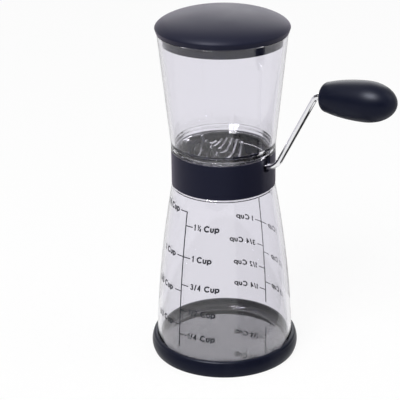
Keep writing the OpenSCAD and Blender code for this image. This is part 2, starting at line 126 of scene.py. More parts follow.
class GrinderJar(PropertyGroup):
    """Sizes of the measuring jar and the soft foot under it."""
    base: length("Jar base", "Height of the jar's underside above the table", 2.0)
    base_r: length("Base radius", "Radius of the wall, carried down to the underside", 39.5)
    taper: length("Taper", "How much smaller the wall is at its top than at its base", 10.6)
    belly: length("Belly", "How far the wall swells beyond a straight taper, times four", 8.2)
    top: length("Shoulder", "Height of the shoulder under the collar", 103.2)
    wall: length("Wall", "Thickness of the jar's wall", 2.0)
    floor: length("Floor", "Thickness of the jar's floor", 2.2)
    heel: length("Heel", "Radius that rounds the jar's bottom edge", 2.5)
    hollow: length("Hollow radius", "Radius inside, between floor and wall", 4.0)
    shoulder: length("Shoulder rounding", "Radius of the shoulder's edge under the collar", 1.2)
    neck_r: length("Neck radius", "Outer radius of the neck inside the collar", 26.3)
    neck_top: length("Neck top", "Height of the neck's rim", 108.2)
    neck_bevel: length("Neck bevel", "Bevel round the neck's rim", 0.6)
    edge: length("Edge", "Radius that eases the jar's sharp edges", 0.3)
    lug_r: length("Lug radius", "Reach of the bayonet lugs from the axis", 27.6)
    lug_low: length("Lug underside", "Height of the lugs' lower faces", 104.7)
    lug_h: length("Lug height", "Height of each bayonet lug", 1.8)
    lug_span: angle("Lug span", "Angle that one lug takes up", 14.0)
    foot_r: length("Foot radius", "Largest radius of the foot", 42.5)
    foot_draw: length("Foot draw-in", "How far the foot's side draws in at the table", 1.0)
    foot_belly: length("Foot belly", "Height of the foot's largest radius", 4.2)
    foot_top: length("Foot top", "Height of the foot's rim", 9.6)
    foot_round: length("Foot rim", "Radius of the foot's rim", 1.6)
    foot_edge: length("Foot edge", "Radius that eases the foot's sharp edges", 0.5)
    foot_gap: length("Foot fit", "Gap between the jar and the foot that holds it", 0.1)


class GrinderScale(PropertyGroup):
    """Sizes of the measuring scale printed on the jar."""
    bearing: angle("Bearing", "Direction of the first scale's line, from the crank's side", -96.2)
    low: length("Line bottom", "Height of the line's lower end", 13.6)
    line: length("Line width", "Width of the upright line", 0.75)
    tick: length("Tick", "Length of each tick from the line", 4.8)
    tick_w: length("Tick width", "Width of each tick", 0.58)
    size: length("Lettering", "Height of a capital", 3.55)
    weight: length("Weight", "Width of the letters' strokes", 0.86)
    figure: length("Figure weight", "Width of the figures' strokes", 0.72)
    fine: length("Fine weight", "Width of the strokes of a small fraction", 0.52)
    drop: length("Drop", "How far the words' foot lies below their tick", 1.53)
    climb: share("Climb", "How much the rows of ticks and words rise from left to right", 0.015)
    letter_gap: length("Letter gap", "Space between two letters", 0.25)
    figure_gap: length("Figure gap", "Space between two figures", 0.41)
    word_gap: length("Word gap", "Further space between figures and word", 1.4)
    back_turn: angle("Back turn", "Turn from the first scale to the second one behind it", 178.75)
    back_drop: length("Back drop", "How much lower the second scale lies than the first", 0.95)
    ink: length("Ink", "Thickness of the printed film", 0.03)
    lift: length("Lift", "Distance of the film's underside from the wall", 0.012)


class GrinderHopper(PropertyGroup):
    """Sizes of the clear hopper and of its domed lid."""
    base: length("Hopper base", "Height of the flange's underside, pressed on the collar", 123.12)
    flange_r: length("Flange radius", "Radius of the flange that stands on the collar", 29.2)
    flange_h: length("Flange height", "Height of the ringed flange", 4.13)
    groove_low: length("Groove", "Height of the groove above the flange's underside", 1.68)
    groove_h: length("Groove height", "Height of the groove round the flange", 0.8)
    groove: length("Groove depth", "Depth of the groove, and rounding of the flange's top", 0.3)
    wall_r: length("Wall radius", "Radius of the wall, carried down to the flange's underside", 28.9)
    mouth_r: length("Mouth radius", "Outer radius of the mouth", 35.8)
    top: length("Hopper top", "Height of the mouth's rim", 190.5)
    wall: length("Wall", "Thickness of the hopper's wall", 2.0)
    bevel: length("Mouth bevel", "Bevel round the outside of the mouth's rim", 0.5)
    lip: length("Lip", "Depth at which the mouth's inner wall begins", 1.0)
    edge: length("Edge", "Radius that eases the hopper's sharp edges", 0.2)
    spigot_r: length("Spigot radius", "Outer radius of the spigot inside the collar", 26.3)
    spigot: length("Spigot", "How far the spigot reaches into the collar", 5.47)
    funnel: length("Funnel", "Height of the funnel from the spigot to the wall", 5.03)
    shaft: length("Shaft height", "Height of the crank's shaft", 118.0)
    arch_r: length("Arch radius", "Radius of the arches over the shaft's bearings", 4.8)
    arch_w: length("Arch half-width", "Half the width of the arches' feet", 7.3)
    arch_foot: length("Arch foot", "Height of the arches' feet over the shaft's middle", 0.3)
    lid_r: length("Lid radius", "Largest radius of the lid", 36.9)
    lid_edge: length("Lid edge", "Height of the lid's edge below its dome", 2.5)
    lid_tuck: length("Lid tuck", "How far the lid's edge draws in towards the rim", 0.8)
    dome: length("Dome", "Height of the lid's dome", 9.25)
    dome_power: FloatProperty(name="Dome power", default=1.16, min=1.0, max=2.0,
                              description="How flat the dome meets its edge; 1 is an ellipse")
    plug: length("Plug", "How far the lid's plug reaches into the mouth", 5.6)
    plug_gap: length("Plug fit", "Gap between plug and wall at the plug's lower edge", 0.3)
    plug_top_r: length("Plug top", "Radius of the plug under the lid's edge", 33.5)
    plug_wall: length("Plug wall", "Thickness of the plug", 2.2)
    lid_hollow: length("Lid hollow", "Height of the hollow under the dome", 9.55)
    lid_ease: length("Lid easing", "Radius that eases the lid's sharp edges", 0.35)


class GrinderKnob(PropertyGroup):
    """Sizes of the egg-shaped grip on the crank's end."""
    gap: length("Gap", "Distance from the crank's bend to the grip", 1.7)
    span: length("Length", "Length of the grip", 42.48)
    belly_r: length("Belly radius", "Largest radius of the grip", 10.8)
    belly: length("Belly", "Distance of the largest radius from the narrow end", 25.5)
    end_r: length("End radius", "Radius that the narrow end would have if it weren't rounded", 7.2)
    rounding: length("Rounding", "Radius that rounds the narrow end", 3.0)
    bore_r: length("Bore radius", "Radius of the hole for the sleeve", 4.8)
    bore: length("Bore", "Depth of the hole for the sleeve", 35.5)
    edge: length("Edge", "Radius that eases the grip's sharp edges", 0.25)


class GrinderFinishes(PropertyGroup):
    """Colours of the grinder's materials."""
    clear: colour("Clear plastic", "Tint of the jar and the hopper", (0.885, 0.876, 0.917))
    black: colour("Black plastic", "Lid, collar and bushes", (0.005, 0.0062, 0.0185))
    black_rubbed: colour("Rubbed black", "Black plastic where hands have rubbed it", (0.024, 0.025, 0.038))
    rubber: colour("Rubber", "Foot and knob", (0.0035, 0.0048, 0.0145))
    rubber_dusty: colour("Dusty rubber", "Rubber where fine dust has settled", (0.013, 0.0145, 0.025))
    rod: colour("Rod", "Plating of the crank's rod", (0.80, 0.80, 0.82))
    rod_worn: colour("Worn rod", "Plating where it has dulled", (0.66, 0.66, 0.68))
    steel: colour("Steel", "Wheels, combs, screws, clips and washers", (0.46, 0.46, 0.48))
    steel_dark: colour("Dark steel", "Steel in its stamped hollows", (0.26, 0.26, 0.275))
    nylon: colour("Nylon", "Spacers between the wheels", (0.018, 0.018, 0.02))
    nylon_worn: colour("Worn nylon", "Nylon that wear has dulled", (0.05, 0.049, 0.047))
    ink: colour("Ink", "Measuring scale", (0.018, 0.019, 0.026))
    ink_thin: colour("Thin ink", "Measuring scale where the print is thin", (0.07, 0.072, 0.085))


class GrinderStage(PropertyGroup):
    """Camera, floor and light."""
    azimuth: angle("Azimuth", "Direction from which the camera looks", 35.0)
    elevation: angle("Elevation", "Height of the camera as an angle over the aim", 23.009)
    distance: length("Distance", "Distance of the camera from the aim", 820.104)
    aim: length("Aim", "Height of the aim on the grinder's axis", 91.224)
    pan: angle("Pan", "Turn of the camera away from the aim", 0.9378)
    tilt: angle("Tilt", "Upward turn of the camera from the aim", 0.0198)
    roll: angle("Roll", "Turn of the camera about its own axis", -0.395)
    lens: FloatProperty(name="Lens", description="Focal length on a sensor 36 mm wide", default=130.27,
                        min=1.0, max=1000.0, subtype="DISTANCE_CAMERA", unit="CAMERA")
    floor: colour("Floor", "Colour of the floor", (0.94, 0.94, 0.94))
    floor_glow: share("Floor evenness", "Share of even white in the floor that the camera sees", 0.9)
    ambient: share("Ambient", "Strength of the even light from all round", 0.5)


# Outlines: lists of (radius, height) points round a closed half-section


def spaced(start, end, steps):
    """Values at even steps from one to another, with both ends."""
    return [start + (end - start) * i / steps for i in range(steps + 1)]


def arc(centre, radii, start, end, steps):
    """Points on an elliptical arc, from one angle in degrees to another."""
    turns = [radians(a) for a in spaced(start, end, steps)]
    return [(centre[0] + radii[0] * cos(a), centre[1] + radii[1] * sin(a)) for a in turns]


def rounded(outer, height, radius, start, end, steps):
    """Points on a round edge that reaches its outer radius at a height."""
    return arc((outer - radius, height), (radius, radius), start, end, steps)


def run(radius_at, start, end, steps):
    """Points on a curved wall whose radius is given for each height."""
    return [(radius_at(z), z) for z in spaced(start, end, steps)]


def eased(outline, radius, sharpest=25.0, steps=4):
    """The same outline with its sharp corners rounded off, as a mould leaves them."""
    out = []
    for i, point in enumerate(outline):
        here = Vector(point)
        back = Vector(outline[i - 1]) - here
        on = Vector(outline[(i + 1) % len(outline)]) - here
        turn = pi - back.angle(on) if back.length > TINY and on.length > TINY else 0.0
        if here.x < TINY or turn < radians(sharpest):
            out.append(point)
            continue
        cut = min(radius * tan(turn / 2), EASE_SHARE * back.length, EASE_SHARE * on.length)
        first, last = here + back.normalized() * cut, here + on.normalized() * cut
        for k in range(steps + 1):
            t = k / steps
            out.append(tuple(first * (1 - t) ** 2 + here * 2 * t * (1 - t) + last * t * t))
    return out


def jar_radius(jar, z):
    """Outer radius of the jar's flared wall at a height."""
    t = (z - jar.base) / (jar.top - jar.base)
    return jar.base_r - jar.taper * t + jar.belly * t * (1 - t)


def jar_outline(jar):
    """Half-section of the jar, from its underside's middle round the outside and back inside."""
    def wall(z):
        return jar_radius(jar, z)

    def inside(z):
        return wall(z) - jar.wall

    low = jar.base + jar.heel
    edge_low = jar.top - jar.shoulder
    neck_in = jar.neck_r - jar.wall
    hollow_low = jar.base + jar.floor + jar.hollow
    points = [(0.0, jar.base)]
    points += rounded(wall(low), low, jar.heel, -90, 0, steps=8)
    points += run(wall, low, edge_low, steps=64)[1:]
    points += rounded(wall(edge_low), edge_low, jar.shoulder, 0, 90, steps=8)[1:]
    points += [(jar.neck_r, jar.top), (jar.neck_r, jar.neck_top - jar.neck_bevel),
               (jar.neck_r - jar.neck_bevel, jar.neck_top), (neck_in, jar.neck_top), (neck_in, jar.top)]
    points += run(inside, jar.top - jar.wall, hollow_low, steps=64)
    points += rounded(inside(hollow_low), hollow_low, jar.hollow, 0, -90, steps=8)[1:]
    points += [(0.0, jar.base + jar.floor)]
    return eased(points, jar.edge)


def foot_outline(jar):
    """Half-section of the foot: a soft pad with a rim that grips the jar."""
    def side(z):
        return jar.foot_r - jar.foot_draw * ((z - jar.foot_belly) / jar.foot_belly) ** 2

    def seat(z):
        return jar_radius(jar, z) + jar.foot_gap

    rim_low = jar.foot_top - jar.foot_round
    low = jar.base + jar.heel
    points = [(0.0, 0.0)]
    points += run(side, 0.0, rim_low, steps=20)
    points += rounded(side(rim_low), rim_low, jar.foot_round, 0, 90, steps=10)[1:]
    points += run(seat, jar.foot_top, low, steps=10)
    points += rounded(seat(low), low, jar.heel, 0, -90, steps=8)[1:]
    points += [(0.0, jar.base)]
    return eased(points, jar.foot_edge)


def hopper_radius(hopper, z):
    """Outer radius of the hopper's wall at a height."""
    return hopper.wall_r + (hopper.mouth_r - hopper.wall_r) * (z - hopper.base) / (hopper.top - hopper.base)


def hopper_outline(hopper):
    """Half-section of the hopper: spigot, ringed flange, tapered wall and funnel."""
    def wall(z):
        return hopper_radius(hopper, z)

    def inside(z):
        return wall(z) - hopper.wall

    bottom = hopper.base - hopper.spigot
    flange_top = hopper.base + hopper.flange_h
    groove_low = hopper.base + hopper.groove_low
    groove_top = groove_low + hopper.groove_h
    groove_r = hopper.flange_r - hopper.groove
    spigot_in = hopper.spigot_r - hopper.wall
    points = [(spigot_in, bottom), (hopper.spigot_r, bottom), (hopper.spigot_r, hopper.base),
              (hopper.flange_r, hopper.base), (hopper.flange_r, groove_low), (groove_r, groove_low),
              (groove_r, groove_top), (hopper.flange_r, groove_top)]
    points += rounded(hopper.flange_r, flange_top - hopper.groove, hopper.groove, 0, 90, steps=5)
    points += run(wall, flange_top, hopper.top - hopper.bevel, steps=24)
    points += [(hopper.mouth_r - hopper.bevel, hopper.top), (hopper.mouth_r - hopper.wall, hopper.top)]
    points += run(inside, hopper.top - hopper.lip, hopper.base + hopper.funnel, steps=24)
    points += [(spigot_in, hopper.base)]
    return eased(points, hopper.edge)


def lid_outline(hopper):
    """Half-section of the lid: hollow dome, thin edge and plug."""
    plug_low = hopper.top - hopper.plug
    plug_r = hopper_radius(hopper, plug_low) - hopper.wall - hopper.plug_gap
    hollow_r = plug_r - hopper.plug_wall
    dome_low = hopper.top + hopper.lid_edge
    points = [(hollow_r, plug_low), (plug_r, plug_low), (hopper.plug_top_r, hopper.top),
              (hopper.lid_r - hopper.lid_tuck, hopper.top)]
    rise = arc((0.0, 0.0), (1.0, 1.0), 0, 90, steps=56)[:-1]
    points += [(hopper.lid_r * x, dome_low + hopper.dome * y ** hopper.dome_power) for x, y in rise]
    points += [(0.0, dome_low + hopper.dome), (0.0, hopper.top + hopper.lid_hollow)]
    points += arc((0.0, hopper.top), (hollow_r, hopper.lid_hollow), 90, 0, steps=36)[1:]
    return eased(points, hopper.lid_ease)


def knob_outline(knob):
    """Half-section of the grip along its own axis, from its narrow end."""
    taper = knob.belly / sqrt(1 - (knob.end_r / knob.belly_r) ** 2)

    def narrow(u):
        return knob.belly_r * sqrt(1 - ((knob.belly - u) / taper) ** 2)

    points = [(knob.bore_r, 0.0)]
    points += rounded(narrow(knob.rounding), knob.rounding, knob.rounding, -90, 0, steps=10)
    points += run(narrow, knob.rounding, knob.belly, steps=24)[1:]
    points += arc((0.0, knob.belly), (knob.belly_r, knob.span - knob.belly), 0, 90, steps=30)[1:-1]
    points += [(0.0, knob.span), (0.0, knob.bore), (knob.bore_r, knob.bore)]
    return eased(points, knob.edge)


# Lettering: the lines that a pen draws for each sign, in shares of a capital's height


LETTERS = {
    "1": [[(0.0, 0.7), (0.15, 0.88)], [(0.15, 1.0), (0.15, 0.0)]],
    "2": [arc((0.165, 0.7), (0.165, 0.205), 170, -40, steps=14) + [(0.0, 0.095), (0.33, 0.095)]],
    "3": [arc((0.165, 0.715), (0.165, 0.19), 165, -90, steps=14),
          [(0.08, 0.525)] + arc((0.16, 0.31), (0.19, 0.215), 90, -165, steps=14)],
    "4": [[(0.31, 0.93), (0.0, 0.31), (0.43, 0.31)], [(0.31, 1.0), (0.31, 0.0)]],
    "/": [[(0.0, 0.0), (0.24, 1.0)]],
    "C": [arc((0.4, 0.5), (0.4, 0.4), 42, 318, steps=24)],
    "u": [[(0.0, 0.72)] + arc((0.2, 0.28), (0.2, 0.18), 180, 360, steps=12) + [(0.4, 0.72)]],
    "p": [arc((0.265, 0.37), (0.265, 0.26), 178, -178, steps=28), [(0.0, 0.72), (0.0, -0.18)]],
}

# A small fraction: size of its figures, where the two stand, and its slash.
SMALL = 0.5
UPPER_PLACE, LOWER_PLACE = (0.18, 0.5), (0.5, -0.05)
SMALL_SLASH = [(0.2, 0.12), (0.6, 0.9)]


def small_fraction(upper, lower):
    """Two half-size figures on either side of a slash, a little apart from what stands before them."""
    def placed(sign, place):
        return [[(SMALL * x + place[0], SMALL * y + place[1]) for x, y in line] for line in LETTERS[sign]]

    return placed(upper, UPPER_PLACE) + [SMALL_SLASH] + placed(lower, LOWER_PLACE)


FRACTIONS = {"¼": small_fraction("1", "4"), "⅓": small_fraction("1", "3")}


# Solids


def soften(shape, crease=32.0):
    """Smooth shading, with the edges that turn sharply left crisp."""
    for face in shape.faces:
        face.smooth = True
    for edge in shape.edges:
        edge.smooth = len(edge.link_faces) == 2 and edge.calc_face_angle() < radians(crease)


def solid(name, shape):
    """An object in the scene from a finished shape."""
    bmesh.ops.recalc_face_normals(shape, faces=shape.faces)
    soften(shape)
    mesh = bpy.data.meshes.new(name)
    shape.to_mesh(mesh)
    shape.free()
    made = bpy.data.objects.new(name, mesh)
    bpy.context.scene.collection.objects.link(made)
    return made


def turned(name, outline):
    """A closed solid made by turning a half-section about the upright axis."""
    shape = bmesh.new()
    turns = [2 * pi * k / TURN_STEPS for k in range(TURN_STEPS)]
    rings = []
    for r, z in outline:
        if r < TINY:
            rings.append([shape.verts.new((0.0, 0.0, z))])
        else:
            rings.append([shape.verts.new((r * cos(a), r * sin(a), z)) for a in turns])
    for low, high in zip(rings, rings[1:] + rings[:1]):
        if len(low) == len(high) == 1:
            continue
        for k in range(TURN_STEPS):
            n = (k + 1) % TURN_STEPS
            corners = [low[k % len(low)], low[n % len(low)], high[n % len(high)], high[k % len(high)]]
            shape.faces.new(list(dict.fromkeys(corners)))
    return solid(name, shape)


def loft(shape, rings):
    """Adds a closed skin through a row of rings of points that match one to one."""
    rows = [[shape.verts.new(point) for point in ring] for ring in rings]
    for low, high in zip(rows, rows[1:]):
        for k in range(len(low)):
            n = (k + 1) % len(low)
            shape.faces.new((low[k], low[n], high[n], high[k]))
    shape.faces.new(rows[0])
    shape.faces.new(rows[-1])


def prism(name, rings):
    """A closed solid through a row of rings."""
    shape = bmesh.new()
    loft(shape, rings)
    return solid(name, shape)


def joined(target, tool, operation):
    """Joins one solid to another or cuts it out, and leaves one clean mesh."""
    step = target.modifiers.new(operation.lower(), "BOOLEAN")
    step.operation, step.solver, step.object = operation, "EXACT", tool
    bpy.context.view_layer.update()
    mesh = bpy.data.meshes.new_from_object(target.evaluated_get(bpy.context.evaluated_depsgraph_get()))
    target.modifiers.remove(step)
    shape = bmesh.new()
    shape.from_mesh(mesh)
    bmesh.ops.remove_doubles(shape, verts=shape.verts, dist=WELD)
    soften(shape)
    shape.to_mesh(target.data)
    shape.free()
    bpy.data.meshes.remove(mesh)
    spare = tool.data
    bpy.data.objects.remove(tool)
    bpy.data.meshes.remove(spare)


def even_normals(piece):
    """Keeps flat faces flat beside their rounded edges."""
    step = piece.modifiers.new("even_normals", "WEIGHTED_NORMAL")
    step.keep_sharp = True


def fit(piece, body, slot, finish, *nodes):
    """Gives a piece its finish and its body, in place of the nodes that it stands for."""
    piece.data.materials.clear()
    piece.data.materials.append(finish())
    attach(piece, body)
    if nodes:
        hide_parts(*nodes)


def paint(finish, *nodes):
    """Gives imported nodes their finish."""
    for node in nodes:
        for holder in frame["nodes"][node].material_slots:
            holder.material = finish()


# Shared effects


def put(tree, kind, inputs=(), **settings):
    """Adds a shader node with its settings, its values and its links."""
    made = tree.nodes.new("ShaderNode" + kind)
    for label, value in settings.items():
        setattr(made, label, value)
    for label, value in dict(inputs).items():
        if isinstance(value, bpy.types.NodeSocket):
            tree.links.new(value, made.inputs[label])
        else:
            made.inputs[label].default_value = value
    return made


def effect(name, inputs, outputs, build):
    """A shader node group with named values in and out, built once."""
    tree = bpy.data.node_groups.get(name)
    if tree is None:
        tree = bpy.data.node_groups.new(name, "ShaderNodeTree")
        for label, value in inputs.items():
            socket = tree.interface.new_socket(label, in_out="INPUT", socket_type="NodeSocketFloat")
            socket.default_value = value
        for label in outputs:
            tree.interface.new_socket(label, in_out="OUTPUT", socket_type="NodeSocketFloat")
        given, out = tree.nodes.new("NodeGroupInput"), tree.nodes.new("NodeGroupOutput")
        for label, socket in build(tree, given.outputs).items():
            tree.links.new(socket, out.inputs[label])
    return tree


def noise(tree, scale, detail=3.0, roughness=0.55, distortion=0.0, stretch=(1.0, 1.0, 1.0)):
    """Noise in the piece's own space, with its cells counted per metre."""
    place = put(tree, "TexCoord").outputs["Object"]
    drawn = put(tree, "Mapping", {"Vector": place, "Scale": stretch}).outputs["Vector"]
    return put(tree, "TexNoise", {"Vector": drawn, "Scale": scale, "Detail": detail, "Roughness": roughness,
                                  "Distortion": distortion}).outputs[0]


def between(tree, value, low, high, to_low=0.0, to_high=1.0):
    """Spreads one range of a value over another."""
    return put(tree, "MapRange", {"Value": value, "From Min": low, "From Max": high, "To Min": to_low,
                                  "To Max": to_high}).outputs[0]


def spread(tree, mask, low, high):
    """Spreads a mask over the range from one value to another."""
    return between(tree, mask, 0.0, 1.0, low, high)


def maths(tree, operation, first, second):
    """One value worked out from two."""
    return put(tree, "Math", {0: first, 1: second}, operation=operation).outputs[0]


def blended(tree, mask, first, second):
    """A colour that goes from one to another over a mask."""
    return put(tree, "Mix", {0: mask, 6: (*first, 1.0), 7: (*second, 1.0)}, data_type="RGBA").outputs[2]


def moulded_grain():
    """Fine grain of a moulded skin, and its slow change of tone."""
    def build(tree, given):
        scale = maths(tree, "DIVIDE", 1.0, given["Cell"])
        return {"Height": noise(tree, scale, detail=2.0, roughness=0.6),
                "Tone": between(tree, noise(tree, 42.0, detail=4.0), 0.3, 0.7)}
    return effect("moulded_grain", {"Cell": 0.4 * MM}, ("Height", "Tone"), build)


def handling():
    """Patches that hands have left."""
    def build(tree, given):
        cloud = noise(tree, 34.0, detail=5.0, roughness=0.6, distortion=0.8)
        patch = between(tree, cloud, given["Start"], 0.75)
        wiped = noise(tree, 190.0, roughness=0.6, stretch=(1.0, 1.0, 0.25))
        streak = between(tree, wiped, 0.3, 0.7, 0.55, 1.0)
        return {"Smudge": maths(tree, "MULTIPLY", patch, streak)}
    return effect("handling", {"Start": 0.45}, ("Smudge",), build)


def edge_rub():
    """Edges that rubbing has lightened, broken up a little."""
    def build(tree, given):
        point = put(tree, "NewGeometry").outputs["Pointiness"]
        edge = between(tree, point, given["Start"], given["Full"])
        broken = between(tree, noise(tree, 420.0, detail=4.0), 0.25, 0.7, 0.35, 1.0)
        return {"Mask": maths(tree, "MULTIPLY", edge, broken)}
    return effect("edge_rub", {"Start": 0.53, "Full": 0.62}, ("Mask",), build)


def fine_marks():
    """Fine drawn marks, level or upright."""
    def build(tree, given):
        level = noise(tree, 5200.0, detail=2.0, roughness=0.5, stretch=(0.05, 1.0, 1.0))
        upright = noise(tree, 5200.0, detail=2.0, roughness=0.5, stretch=(1.0, 1.0, 0.05))
        mixed = put(tree, "Mix", {0: given["Upright"], 2: level, 3: upright}).outputs[0]
        return {"Marks": between(tree, mixed, 0.35, 0.65)}
    return effect("fine_marks", {"Upright": 0.5}, ("Marks",), build)


# Finishes


def finish_material(name, build):
    """A material, built once, with its Principled shader handed to the builder."""
    made = bpy.data.materials.get(name)
    if made is None:
        made = bpy.data.materials.new(name)
        made.use_nodes = True
        build(made.node_tree, made.node_tree.nodes["Principled BSDF"], bpy.context.scene.grinder_finishes)
    return made


def use(tree, group, **inputs):
    """Places a shared effect in a material with its own values."""
    made = tree.nodes.new("ShaderNodeGroup")
    made.node_tree = group
    for label, value in inputs.items():
        made.inputs[label].default_value = value
    return made.outputs


def feed(tree, shader, **sources):
    """Links sources to the shader's sockets, with underscores for spaces."""
    for label, source in sources.items():
        tree.links.new(source, shader.inputs[label.replace("_", " ")])


def plain(shader, **values):
    """Sets the shader's values that are the same all over, with underscores for spaces."""
    for label, value in values.items():
        shader.inputs[label.replace("_", " ")].default_value = value


def bump(tree, height, strength, distance):
    """A normal raised by a height."""
    return put(tree, "Bump", {"Height": height, "Strength": strength, "Distance": distance}).outputs[0]


def clear_moulding():
    """Clear, polished plastic with faint handling and a slight moulding wave."""
    def build(tree, shader, colours):
        plain(shader, Base_Color=(*colours.clear, 1.0), Transmission_Weight=1.0, IOR=1.49)
        depth = put(tree, "VolumeAbsorption", {"Color": (0.0, 0.0, 0.0, 1.0), "Density": 10.0}).outputs[0]
        tree.links.new(depth, tree.nodes["Material Output"].inputs["Volume"])
        smudge = use(tree, handling(), Start=0.5)["Smudge"]
        wave = use(tree, moulded_grain(), Cell=20 * MM)["Height"]
        feed(tree, shader, Roughness=spread(tree, smudge, 0.015, 0.06),
             Normal=bump(tree, wave, 0.12, 0.3 * MM))
    return finish_material("clear_moulding", build)


def satin_black():
    """Satin black plastic with a fine moulded grain and rubbed edges."""
    def build(tree, shader, colours):
        grain = use(tree, moulded_grain(), Cell=0.3 * MM)
        rub = use(tree, edge_rub(), Start=0.52, Full=0.6)["Mask"]
        smudge = use(tree, handling(), Start=0.42)["Smudge"]
        plain(shader, Specular_IOR_Level=0.13, Specular_Tint=(0.85, 0.86, 1.0, 1.0), Sheen_Weight=0.2,
              Sheen_Roughness=0.4, Sheen_Tint=(0.9, 0.78, 1.0, 1.0))
        tone = spread(tree, grain["Tone"], 0.52, 0.44)
        rough = put(tree, "Mix", {0: smudge, 2: tone, 3: 0.5}).outputs[0]
        feed(tree, shader, Base_Color=blended(tree, rub, colours.black, colours.black_rubbed),
             Roughness=rough, Normal=bump(tree, grain["Height"], 0.12, 0.04 * MM))
    return finish_material("satin_black", build)


def soft_black():
    """Soft black rubber, a little dusty."""
    def build(tree, shader, colours):
        grain = use(tree, moulded_grain(), Cell=0.22 * MM)
        smudge = use(tree, handling(), Start=0.5)["Smudge"]
        plain(shader, Specular_IOR_Level=0.13, Specular_Tint=(0.85, 0.88, 1.0, 1.0))
        feed(tree, shader, Base_Color=blended(tree, smudge, colours.rubber, colours.rubber_dusty),
             Roughness=spread(tree, grain["Tone"], 0.33, 0.4),
             Normal=bump(tree, grain["Height"], 0.15, 0.04 * MM))
    return finish_material("soft_black", build)


def bright_rod():
    """Polished plating with a little dulling where it is held."""
    def build(tree, shader, colours):
        marks = use(tree, fine_marks(), Upright=0.5)["Marks"]
        smudge = use(tree, handling(), Start=0.5)["Smudge"]
        plain(shader, Metallic=1.0)
        feed(tree, shader, Base_Color=blended(tree, smudge, colours.rod, colours.rod_worn),
             Roughness=spread(tree, smudge, 0.07, 0.16), Normal=bump(tree, marks, 0.04, 0.02 * MM))
    return finish_material("bright_rod", build)


def stamped_steel():
    """Stamped steel, tumbled and washed, darker in its hollows."""
    def build(tree, shader, colours):
        marks = use(tree, fine_marks(), Upright=1.0)["Marks"]
        rub = use(tree, edge_rub(), Start=0.44, Full=0.55)["Mask"]
        plain(shader, Metallic=1.0)
        feed(tree, shader, Base_Color=blended(tree, rub, colours.steel_dark, colours.steel),
             Roughness=spread(tree, marks, 0.32, 0.46), Normal=bump(tree, marks, 0.2, 0.02 * MM))
    return finish_material("tumbled_steel", build)


def black_nylon():
    """Black nylon, dulled where it rubs."""
    def build(tree, shader, colours):
        grain = use(tree, moulded_grain(), Cell=0.5 * MM)
        smudge = use(tree, handling(), Start=0.4)["Smudge"]
        feed(tree, shader, Base_Color=blended(tree, smudge, colours.nylon, colours.nylon_worn),
             Roughness=spread(tree, grain["Tone"], 0.4, 0.52),
             Normal=bump(tree, grain["Height"], 0.1, 0.03 * MM))
    return finish_material("black_nylon", build)


def scale_print():
    """Printing ink, thin in places."""
    def build(tree, shader, colours):
        grain = use(tree, moulded_grain(), Cell=0.3 * MM)
        thin = between(tree, grain["Height"], 0.45, 0.8)
        plain(shader, Specular_IOR_Level=0.1)
        feed(tree, shader, Base_Color=blended(tree, thin, colours.ink, colours.ink_thin),
             Roughness=spread(tree, grain["Tone"], 0.45, 0.6))
    return finish_material("scale_print", build)


# Operators


class GRINDER_OT_foot(Operator):
    """Make the soft foot that grips the jar's base"""
    bl_idname = "grinder.foot"
    bl_label = "Foot"

    def execute(self, context):
        piece = turned("soft_foot", foot_outline(context.scene.grinder_jar))
        even_normals(piece)
        fit(piece, "container", "black_rubber", soft_black, "foot")
        return {"FINISHED"}


class GRINDER_OT_jar(Operator):
    """Make the clear measuring jar with its rounded shoulder, neck and bayonet lugs"""
    bl_idname = "grinder.jar"
    bl_label = "Jar"

    def execute(self, context):
        jar = context.scene.grinder_jar
        piece = turned("measuring_jar", jar_outline(jar))
        root, lug_top = jar.neck_r - jar.wall / 2, jar.lug_low + jar.lug_h
        corners = ((root, jar.lug_low), (jar.lug_r, jar.lug_low), (jar.lug_r, lug_top), (root, lug_top))
        for k in range(LUGS):
            turns = [2 * pi * k / LUGS + jar.lug_span * (i / LUG_STEPS - 0.5) for i in range(LUG_STEPS + 1)]
            rings = [[(r * cos(a), r * sin(a), z) for r, z in corners] for a in turns]
            joined(piece, prism("lug", rings), "UNION")
        even_normals(piece)
        fit(piece, "container", "clear_plastic", clear_moulding, "jar")
        return {"FINISHED"}


